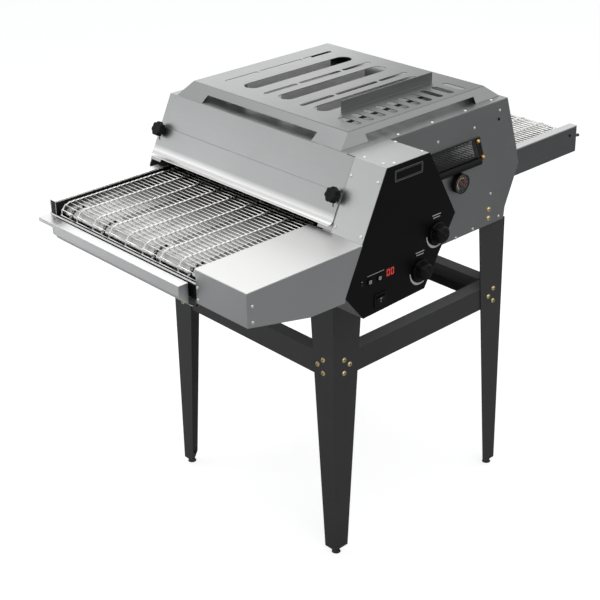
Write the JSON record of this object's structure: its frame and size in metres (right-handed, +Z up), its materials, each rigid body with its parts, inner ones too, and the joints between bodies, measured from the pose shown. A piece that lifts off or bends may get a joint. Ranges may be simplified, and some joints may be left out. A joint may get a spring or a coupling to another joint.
{
  "type": "conveyor oven",
  "caption": "Conveyor oven on an angle-leg stand: a wire belt runs through a hooded heating chamber with sliding heat flaps, a vented top, a control box and a pull-out crumb tray.",
  "frame": {"origin": "on the floor, under the middle of the machine's bounding box", "axes": "+X along the belt from the in-feed end to the out-feed end, -Y towards the control panel, +Z up"},
  "size_m": [1.279, 0.746, 1.075],
  "materials": {
    "stainless": "brushed",
    "stand_coat": "satin powder coat",
    "plated_bolts": "yellow plated",
    "rubber_feet": "matte",
    "galvanised": "galvanised",
    "liner_steel": "plain",
    "mineral_wool": "fibrous",
    "heater_sheath": "heat tinted",
    "belt_wire": "drawn wire",
    "machined_steel": "turned",
    "motor_paint": "satin",
    "panel_black": "satin",
    "knob_black": "matte",
    "switch_body": "matte",
    "display_red": "clear",
    "pane": "clear",
    "brass": "polished",
    "needle_red": "satin"
  },
  "bodies": {
    "oven": {"leg_infeed_front": "stand_coat", "leg_infeed_rear": "stand_coat", "leg_outfeed_front": "stand_coat", "leg_outfeed_rear": "stand_coat", "stand_rails_long": "stand_coat", "stand_rails_cross": "stand_coat", "stand_bolts": "plated_bolts", "levelling_feet": "rubber_feet", "chassis_rails": "galvanised", "base_pan": "galvanised", "side_panel_front": "stainless", "side_panel_rear": "stainless", "body_cover": "stainless", "vent_cover": "stainless", "upper_liner": "liner_steel", "lower_liner": "liner_steel", "insulation": "mineral_wool", "upper_heaters": "heater_sheath", "lower_heaters": "heater_sheath", "conveyor_side_front": "stainless", "conveyor_side_rear": "stainless", "infeed_end_plate": "stainless", "outfeed_end_plate": "stainless", "belt_supports": "machined_steel", "belt_upper_run": "belt_wire", "belt_return_run": "belt_wire", "belt_infeed_wrap": "belt_wire", "belt_outfeed_wrap": "belt_wire", "shaft_bearings": "motor_paint", "belt_tensioners": "machined_steel", "gearmotor": "motor_paint", "motor_bracket": "galvanised", "drive_chain": "machined_steel", "drive_cover": "stainless", "control_box": "stainless", "control_panel": "panel_black", "rotary_switches": "switch_body", "switch_frame": "knob_black", "display_module": "display_red", "terminal_block": "switch_body", "window_glass": "pane", "window_sill": "knob_black", "dome_nuts": "brass", "thermometer": "knob_black"},
    "crumb_tray": {"crumb_tray": "stainless"},
    "infeed_flap": {"infeed_flap": "stainless"},
    "outfeed_flap": {"outfeed_flap": "stainless"},
    "infeed_knob_front": {"infeed_knob_front": "knob_black"},
    "infeed_knob_rear": {"infeed_knob_rear": "knob_black"},
    "outfeed_knob_front": {"outfeed_knob_front": "knob_black"},
    "outfeed_knob_rear": {"outfeed_knob_rear": "knob_black"},
    "heat_knob": {"heat_knob": "knob_black"},
    "speed_knob": {"speed_knob": "knob_black"},
    "plus_button": {"plus_button": "knob_black"},
    "minus_button": {"minus_button": "knob_black"},
    "rocker": {"rocker": "knob_black"},
    "drive_shaft": {"drive_shaft": "machined_steel"},
    "idler_shaft": {"idler_shaft": "machined_steel"},
    "motor_sprocket": {"motor_sprocket": "machined_steel"},
    "thermometer_needle": {"thermometer_needle": "needle_red"}
  },
  "joints": [
    {"name": "crumb_tray_slide", "type": "slide", "parent": "oven", "child": "crumb_tray", "axis": [-1, 0, 0], "range_m": [0, 0.28]},
    {"name": "infeed_flap_slide", "type": "slide", "parent": "oven", "child": "infeed_flap", "axis": [0.4327, 0, 0.9015], "range_m": [0, 0.02]},
    {"name": "outfeed_flap_slide", "type": "slide", "parent": "oven", "child": "outfeed_flap", "axis": [-0.2961, 0, 0.9552], "range_m": [0, 0.02]},
    {"name": "infeed_knob_front_turn", "type": "hinge", "parent": "oven", "child": "infeed_knob_front", "pos_m": [-0.25959, -0.242, 0.9396], "axis": [-0.9015, 0, 0.4327], "range_deg": [0, 330]},
    {"name": "infeed_knob_rear_turn", "type": "hinge", "parent": "oven", "child": "infeed_knob_rear", "pos_m": [-0.25959, 0.355, 0.9396], "axis": [-0.9015, 0, 0.4327], "range_deg": [0, 330]},
    {"name": "outfeed_knob_front_turn", "type": "hinge", "parent": "oven", "child": "outfeed_knob_front", "pos_m": [0.33487, -0.168, 0.93653], "axis": [0.9552, 0, 0.2961], "range_deg": [0, 330]},
    {"name": "outfeed_knob_rear_turn", "type": "hinge", "parent": "oven", "child": "outfeed_knob_rear", "pos_m": [0.33487, 0.304, 0.93653], "axis": [0.9552, 0, 0.2961], "range_deg": [0, 330]},
    {"name": "heat_knob_turn", "type": "hinge", "parent": "oven", "child": "heat_knob", "pos_m": [-0.064, -0.35, 0.828], "axis": [0, -1, 0], "range_deg": [-270, 0]},
    {"name": "speed_knob_turn", "type": "hinge", "parent": "oven", "child": "speed_knob", "pos_m": [-0.115, -0.35, 0.756], "axis": [0, -1, 0], "range_deg": [-270, 0]},
    {"name": "plus_button_press", "type": "slide", "parent": "oven", "child": "plus_button", "axis": [0, 1, 0], "range_m": [0, 0.0015], "stiffness_N_per_m": 400},
    {"name": "minus_button_press", "type": "slide", "parent": "oven", "child": "minus_button", "axis": [0, 1, 0], "range_m": [0, 0.0015], "stiffness_N_per_m": 400},
    {"name": "rocker_tilt", "type": "hinge", "parent": "oven", "child": "rocker", "pos_m": [-0.24, -0.347, 0.729], "axis": [-1, 0, 0], "range_deg": [0, 16]},
    {"name": "drive_shaft_turn", "type": "hinge", "parent": "oven", "child": "drive_shaft", "pos_m": [-0.573, 0.068, 0.83547], "axis": [0, 1, 0], "continuous": true},
    {"name": "idler_shaft_turn", "type": "hinge", "parent": "oven", "child": "idler_shaft", "pos_m": [0.5827, 0.068, 0.83547], "axis": [0, 1, 0], "continuous": true},
    {"name": "motor_sprocket_turn", "type": "hinge", "parent": "oven", "child": "motor_sprocket", "pos_m": [-0.476, 0.068, 0.83547], "axis": [0, 1, 0], "continuous": true},
    {"name": "needle_turn", "type": "hinge", "parent": "oven", "child": "thermometer_needle", "pos_m": [0.14, -0.242, 0.854], "axis": [0, -1, 0], "range_deg": [-170, 90]}
  ],
  "couplings": [
    {"joint": "idler_shaft_turn", "follows": "drive_shaft_turn", "ratio": 1},
    {"joint": "motor_sprocket_turn", "follows": "drive_shaft_turn", "ratio": 1.5}
  ]
}
